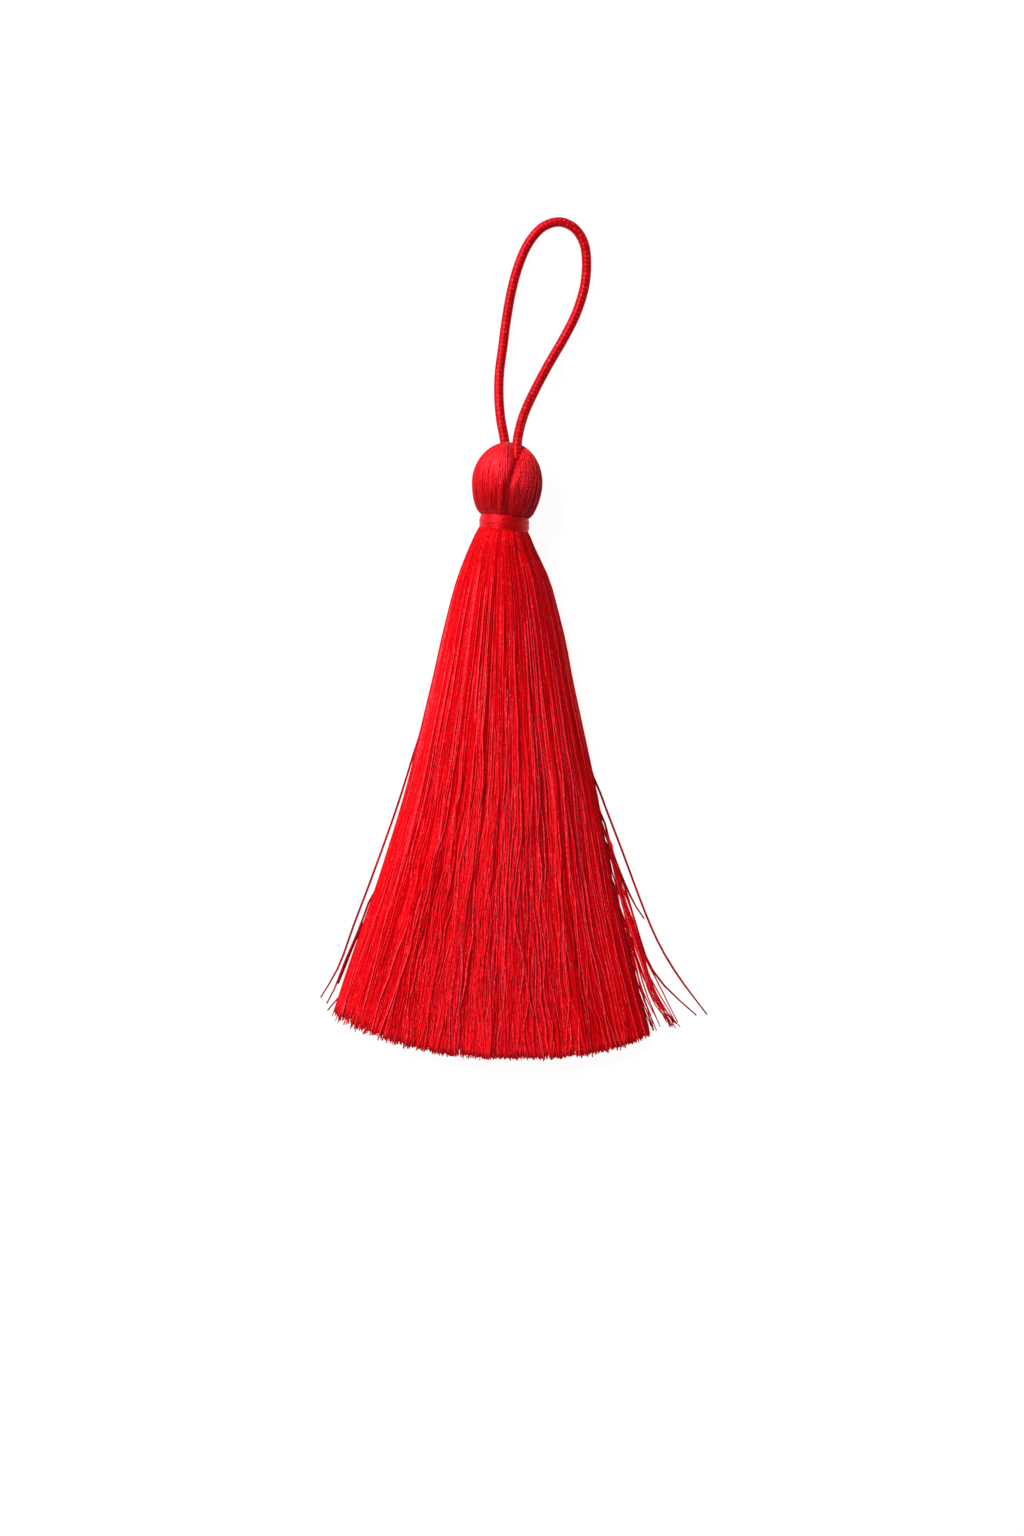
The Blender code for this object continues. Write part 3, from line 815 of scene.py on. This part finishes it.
# How far the head's top leans aside and up, where its front begins, and how the silk narrows
# below it to go under the binding
POLE_ASIDE, POLE_UP = 0.15 * MM, 0.9 * MM
FRONT_FROM, FRONT_REACH = 0.3 * MM, 2.0 * MM
NECK_NARROWED, NECK_REACH = 0.72, 1.5 * MM

# The closed form under the head's threads
FORM_RINGS, FORM_SIDES = 26, 72
FORM_FIRST, FORM_LAST_Y = 0.04, -4.9 * MM
FORM_INSET = -0.12 * MM

# The cleft between the head's lobes, in millimetres
CLEFT_COLUMNS = ("y", "x", "depth", "width")
CLEFT_ROWS = (
    (5.2, 1.20, 0.90, 1.00),
    (4.6, 1.22, 1.25, 0.90),
    (3.65, 1.20, 1.60, 0.60),
    (2.8, 1.17, 1.15, 0.42),
    (2.2, 1.02, 0.75, 0.42),
    (-0.9, 0.25, 0.50, 0.50),
    (-3.9, 0.30, 0.42, 0.50),
)


def cleft(name, y):
    """One measure of the cleft between the head's lobes at y, in metres."""
    rows = np.array(CLEFT_ROWS) * MM
    return np.interp(-y, -rows[:, 0], rows[:, CLEFT_COLUMNS.index(name)])


def head_points(angle, around, out):
    """Points over the head: angle from its top, around its axis, and out from its surface."""
    reach = np.where(angle < np.pi / 2, HEAD_TOP, HEAD_UNDER)
    y = reach * np.cos(angle)
    radius = HEAD_RADIUS * np.sin(angle) + out
    pole = np.clip(np.cos(angle), 0.0, 1.0) ** 2
    x = radius * np.cos(around) + POLE_ASIDE * pole
    z = radius * np.sin(around) + POLE_UP * pole
    front = smooth((z - FRONT_FROM) / FRONT_REACH)
    z = z - cleft("depth", y) * front * bump_at(x, cleft("x", y), cleft("width", y))
    narrowed = mixed(1.0, NECK_NARROWED, smooth((HEAD_END - y) / NECK_REACH))
    points = off_axis(np.stack([x * narrowed, y, z * narrowed], -1))
    points[..., 2] = np.maximum(points[..., 2], HEAD_LOWEST)
    return points


def make_head_form(material):
    """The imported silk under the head's outer threads, as one closed form."""
    last = math.acos(FORM_LAST_Y / HEAD_UNDER)
    bm = bmesh.new()
    verts = []
    for angle in np.linspace(FORM_FIRST, last, FORM_RINGS + 1):
        verts.append(bm.verts.new((math.sin(angle), math.cos(angle), 0.0)))
    edges = [bm.edges.new(pair) for pair in zip(verts, verts[1:])]
    bmesh.ops.spin(
        bm,
        geom=verts + edges,
        axis=(0, 1, 0),
        cent=(0, 0, 0),
        steps=FORM_SIDES,
        angle=2 * math.pi,
        use_merge=True,
    )
    bmesh.ops.remove_doubles(bm, verts=bm.verts[:], dist=1e-5)
    bmesh.ops.holes_fill(bm, edges=[e for e in bm.edges if e.is_boundary], sides=FORM_SIDES)
    for vert in bm.verts:
        angle = math.atan2(math.hypot(vert.co.x, vert.co.z), vert.co.y)
        around = math.atan2(vert.co.z, vert.co.x)
        vert.co = head_points(np.array(angle), np.array(around), np.array(FORM_INSET))
    bmesh.ops.recalc_face_normals(bm, faces=bm.faces[:])
    for face in bm.faces:
        face.smooth = True
    piece = new_piece("head_form", bm, material)
    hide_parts("silk_skein")


def make_head_threads(material):
    """Threads laid over the head, from the loop at its top to the binding."""
    last = math.acos(HEAD_LAST_Y / HEAD_UNDER)
    share = np.linspace(0.0, 1.0, HEAD_POINTS)[None]
    layers = []
    for count, low, high, radius, shade, varied in HEAD_LAYERS:
        angle = mixed(HEAD_FIRST, last, share**0.9) + np.zeros((count, 1))
        first = rng.permutation(np.linspace(0, 2 * np.pi, count, endpoint=False))[:, None]
        right = np.where(first < np.pi / 2, np.sin(2 * first), 0.0)
        around = first + HEAD_LEAN * right * smooth(share * 1.2)
        around = around + wander(count, 0.05, 0.9, share[0]) + wander(count, 0.012, 3.5, share[0])
        around = around + rng.normal(0, 0.06, (count, 1)) * share
        out = rng.uniform(low, high, (count, 1)) + wander(count, 0.02 * MM, 1.5, share[0])
        path = head_points(angle, around, out)
        radii = radius * rng.uniform(0.85, 1.1, (count, 1)) * (0.55 + 0.45 * np.sin(angle))
        # Painted shade on the right lobe and towards the binding, and a painted highlight on the
        # upper left lobe
        painted_shading = HEAD_PAINTED_SHADE * (right * 0.4 + smooth((share - 0.52) / 0.3))
        painted_gloss = bump_at(share, 0.34, 0.15) * bump_at(np.cos(first), -0.45, 0.45) * np.sin(first)
        tone = rng.normal(shade, varied, (count, 1)) - painted_shading + HEAD_PAINTED_HIGHLIGHT * painted_gloss.clip(0.0, 1.0)
        own = rng.random((count, 1)) + np.zeros_like(share)
        layers.append([path, radii, tone.clip(0.0, 0.95), own])
    paths, radii, tones, own = (np.concatenate(parts) for parts in zip(*layers))
    paths[..., 2] = np.maximum(paths[..., 2], radii)
    shades = np.stack([tones.ravel(), own.ravel()], 1)
    piece = make_threads("head_threads", paths, radii, shades, material)
    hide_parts("silk_skein")


# Binding
BAND_TURNS = 16
BAND_PASSES = 3
BAND_TURN_POINTS = 36
BAND_THREAD_RADIUS = 0.11 * MM
BAND_ASLANT = 0.11 * MM
BAND_OUTSIDE = BAND_RADIUS + 0.05 * MM
BAND_PASS_STEP = 0.05 * MM
BAND_UNEVEN, BAND_UNEVEN_PACE = 0.015 * MM, 0.37
BAND_ASLANT_PACE = 1.137
BAND_ROUNDING = 0.16 * MM
# Painted shade on the binding: darkest a little right of its middle and towards its right side
BAND_PAINTED_SHADE_AT = 0.2 * MM
BAND_PAINTED_SHADE_WIDTH = 0.9 * MM


def make_band(material):
    """The binding: one thread wound close round the neck, down, up and down again."""
    count = BAND_TURNS * BAND_PASSES * BAND_TURN_POINTS
    turns = np.arange(count + 1) / BAND_TURN_POINTS
    done = turns / BAND_TURNS
    share = np.abs((done + 1) % 2 - 1)
    radius = BAND_OUTSIDE - BAND_THREAD_RADIUS - BAND_PASS_STEP * (BAND_PASSES - done)
    radius = radius + BAND_UNEVEN * wave(turns * BAND_UNEVEN_PACE)
    radius = radius - BAND_ROUNDING * np.cos(np.pi * share) ** 4
    inset = BAND_THREAD_RADIUS
    y = mixed(BAND_TOP - inset, BAND_END + inset, share)
    y = y + BAND_ASLANT * np.sin(np.pi * share) * wave(turns * BAND_ASLANT_PACE)
    around = 2 * np.pi * (turns - 0.25)
    path = off_axis(np.stack([radius * np.cos(around), y, radius * np.sin(around)], -1))
    radii = np.full(len(path), BAND_THREAD_RADIUS)
    # Painted shade: the turns are painted darker in the middle and towards the right, and paler
    # at the left
    band_painted_shade = bump_at(path[:, 0], BAND_PAINTED_SHADE_AT, BAND_PAINTED_SHADE_WIDTH) + smooth(path[:, 0] / BAND_RADIUS)
    shades = np.stack([(0.75 - 0.45 * band_painted_shade).clip(0.0, 1.0), np.full(len(path), 0.4)], 1)
    piece = make_threads("binding_turns", path[None], radii[None], shades, material, sides=6)
    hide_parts("neck_binding")


# Materials
SILK_DEEP = (0.56, 0.0003, 0.0008, 1.0)
SILK_BRIGHT = (1.0, 0.001, 0.006, 1.0)
# The pale that painted glints mix towards
SILK_PALE = (1.0, 0.07, 0.10, 1.0)
HEAD_DEEP = (0.45, 0.0002, 0.0008, 1.0)
# A deeper red than the skirt's, for the strays: painted shade
STRAY_PAINTED_SHADE_RED = (0.26, 0.0002, 0.003, 1.0)
CORD_DEEP = (0.28, 0.0002, 0.0006, 1.0)
CORD_BRIGHT = (0.62, 0.0005, 0.002, 1.0)
BINDING_DEEP = (0.34, 0.0002, 0.0006, 1.0)
BINDING_BRIGHT = (0.80, 0.002, 0.004, 1.0)
SILK_TINT = (1.0, 0.30, 0.46, 1.0)
SKIRT_TINT = (1.0, 0.14, 0.26, 1.0)
SHEEN_TINT = (1.0, 0.10, 0.20, 1.0)
WHITE = (1.0, 1.0, 1.0, 1.0)
FLOOR_DARK = (0.14, 0.14, 0.14, 1.0)
FLOOR_PALE = (0.16, 0.16, 0.16, 1.0)
TWIST_PITCH = 0.055
TWIST_RELIEF = 0.015 * MM
YARN_RELIEF = 0.01 * MM
FLOOR_GLOW = 0.93


def silk_finish(name, deep, bright, pale, roughness, shine, tint=SILK_TINT):
    """Silk thread: each thread of its own red, with the fine twist as a bump and as painted light
    and shade along it, painted sheen in soft patches, and painted glints towards pale. Dyed
    silk throws part of the light back in its own colour, so it is a little metallic."""
    look = Finish(
        name,
        metallic=0.3,
        specular_ior_level=shine,
        specular_tint=tint,
        sheen_weight=0.04,
        sheen_roughness=0.35,
        sheen_tint=SHEEN_TINT,
    )
    shade, second = look.map_parts("shade")
    around, along = look.map_parts("twist")
    place = look.node("ShaderNodeTexCoord", out="Object")
    stretched = look.node(
        "ShaderNodeVectorMath",
        {"Vector": place, "Vector_001": (1.0, 0.22, 1.0)},
        operation="MULTIPLY",
    )
    # Painted sheen: soft paler and darker patches, stretched along the threads
    painted_sheen_patch = look.noise(stretched, 330.0, 3.0)
    streak = look.noise(look.point(second * 91.0, along * 1.6, second * 53.0), 3.0)
    fleck = look.noise(look.point(second * 137.0, along * 9.0, around * 1.5), 2.2, 1.0)
    twist = (along / TWIST_PITCH + around + second * 7.0).wave()
    tone = shade * 0.6 + streak * 0.25 + fleck * 0.2 + painted_sheen_patch * 0.5 - 0.34
    # Painted light and shade along the twist, darker in its grooves
    tone = tone + (twist - 0.5) * (shade * 0.22 + 0.04)
    body = look.mix(tone, deep, bright)
    # Painted glints: pale flecks on some threads, and a pale mix on the threads of highest shade
    spark = (fleck * 1.6) ** 7.0
    glint = second**6.0 * spark * 0.5 + shade**9.0 * (spark * 0.6 + 0.35)
    look.drive("Base Color", look.mix(glint, body, pale))
    look.drive("Roughness", roughness + fleck * 0.15)
    look.drive("Normal", look.bump(twist, TWIST_RELIEF, 0.7))
    return look.material


def cord_finish():
    """Satin cord: red, with painted light on the braid's raised stitches, painted shade in their
    grooves, and painted glints.
    """
    look = Finish(
        "cord_satin_red",
        metallic=0.3,
        specular_ior_level=0.2,
        specular_tint=SILK_TINT,
        sheen_weight=0.02,
        sheen_roughness=0.3,
        sheen_tint=SHEEN_TINT,
    )
    around, along = look.map_parts("twist")
    raised, _ = look.map_parts("shade")
    yarn = (around * 24.0).wave()
    fleck = look.noise(look.point(around * 10.0, along * 12.0, 0.0), 1.0)
    # Painted light on the raised stitches and painted shade in the grooves between them
    tone = raised * 0.3 + yarn * 0.1 + fleck * 0.9 - 0.2
    body = look.mix(tone, CORD_DEEP, CORD_BRIGHT)
    # Painted glints on the raised stitches
    look.drive("Base Color", look.mix(raised**4.0 * (fleck * 1.6) ** 5.0, body, SILK_PALE))
    look.drive("Roughness", 0.32 + fleck * 0.2)
    look.drive("Normal", look.bump(yarn, YARN_RELIEF, 0.5))
    return look.material


def floor_finish():
    """A pale matt table top, lit a little from below."""
    look = Finish(
        "pale_floor",
        roughness=0.9,
        specular_ior_level=0.1,
        emission_color=WHITE,
        emission_strength=FLOOR_GLOW,
    )
    place = look.node("ShaderNodeTexCoord", out="Object")
    grain = look.noise(place, 40.0)
    look.drive("Base Color", look.mix(grain, FLOOR_DARK, FLOOR_PALE))
    return look.material


# Stage
FLOOR_HALF = 10.0
FLOOR_DROP = 0.02 * MM
WORLD_POWER = 0.34
KEY_PLACE, KEY_AIM = (-0.56, 0.48, 0.66), (0.0, -0.03, 0.0)
KEY_SIZE, KEY_POWER = 0.5, 14.5


def make_floor():
    """The pale floor that the tassel lies on."""
    bm = bmesh.new()
    bmesh.ops.create_grid(bm, x_segments=1, y_segments=1, size=FLOOR_HALF)
    bmesh.ops.translate(bm, verts=bm.verts[:], vec=(0, 0, -FLOOR_DROP))
    mesh = bpy.data.meshes.new("floor")
    bm.to_mesh(mesh)
    bm.free()
    mesh.materials.append(floor_finish())
    floor = bpy.data.objects.new("floor", mesh)
    bpy.context.scene.collection.objects.link(floor)


def make_light(name, place, aim, size, power):
    """A soft square lamp at a place, turned to an aim."""
    data = bpy.data.lights.new(name, "AREA")
    data.shape, data.size, data.energy = "SQUARE", size, power
    lamp = bpy.data.objects.new(name, data)
    lamp.location = place
    lamp.rotation_euler = (Vector(aim) - Vector(place)).to_track_quat("-Z", "Y").to_euler()
    bpy.context.scene.collection.objects.link(lamp)


def make_world():
    """Even pale light from all round."""
    world = bpy.data.worlds.new("studio")
    world.use_nodes = True
    back = world.node_tree.nodes["Background"]
    back.inputs["Color"].default_value = WHITE
    back.inputs["Strength"].default_value = WORLD_POWER
    bpy.context.scene.world = world


def main():
    bpy.context.scene.view_settings.view_transform = "Standard"
    make_camera()
    make_cord(cord_finish())
    skirt_reds = (SILK_DEEP, SILK_BRIGHT, SILK_PALE)
    # The strays' silk is a darker copy of the skirt's silk: painted shade
    stray_painted_shade_reds = (STRAY_PAINTED_SHADE_RED, SILK_BRIGHT, SILK_PALE)
    head_reds = (HEAD_DEEP, SILK_BRIGHT, SILK_PALE)
    binding_reds = (BINDING_DEEP, BINDING_BRIGHT, BINDING_BRIGHT)
    silk = silk_finish("skirt_silk_red", *skirt_reds, 0.45, 0.22, SKIRT_TINT)
    stray_silk_painted_shade = silk_finish("stray_silk_red_painted_shade", *stray_painted_shade_reds, 0.45, 0.15, SKIRT_TINT)
    head_silk = silk_finish("head_silk_red", *head_reds, 0.36, 0.60)
    binding = silk_finish("binding_red", *binding_reds, 0.27, 0.45)
    make_skirt(silk)
    make_strays(stray_silk_painted_shade)
    make_head_form(head_silk)
    make_head_threads(head_silk)
    make_band(binding)
    make_floor()
    make_world()
    make_light("key", KEY_PLACE, KEY_AIM, KEY_SIZE, KEY_POWER)


main()
